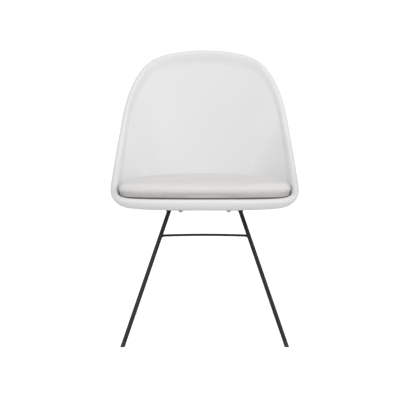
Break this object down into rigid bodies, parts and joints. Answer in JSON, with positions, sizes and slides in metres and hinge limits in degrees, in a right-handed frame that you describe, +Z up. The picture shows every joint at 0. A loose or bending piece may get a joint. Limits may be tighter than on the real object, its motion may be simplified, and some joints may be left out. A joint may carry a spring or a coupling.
{
  "type": "shell chair",
  "caption": "Moulded bucket shell chair with a loose leatherette seat cushion on a bent steel rod base with a front crossbar.",
  "frame": {"origin": "on the floor, under the middle of the chair's bounding box", "axes": "+Z up; the chair faces -Y, so a sitter looks along -Y; +X is the sitter's left"},
  "size_m": [0.543, 0.5009, 0.85],
  "materials": {
    "shell_white": "satin moulded",
    "cover_white": "soft matt leatherette",
    "foam": "open-cell foam",
    "lining": "woven",
    "hook_loop": "hook and loop",
    "powder_coat": "fine powder coat",
    "zinc_steel": "zinc plated",
    "insert_brass": "turned",
    "glide_black": "moulded nylon",
    "spacer_grey": "moulded"
  },
  "bodies": {
    "root": {"seat_shell": "shell_white", "shell_inserts": "insert_brass", "boss_spacers": "spacer_grey", "mounting_plate": "powder_coat", "plate_washers": "zinc_steel", "spring_washers": "zinc_steel", "plate_screws": "zinc_steel", "left_leg_frame": "powder_coat", "right_leg_frame": "powder_coat", "front_crossbar": "powder_coat", "weld_beads": "powder_coat", "glide_front_left": "glide_black", "glide_front_right": "glide_black", "glide_rear_left": "glide_black", "glide_rear_right": "glide_black", "cushion_foam": "foam", "cushion_cover": "cover_white", "cushion_panel": "lining", "hook_patches": "hook_loop", "loop_patches": "hook_loop"}
  },
  "joints": []
}
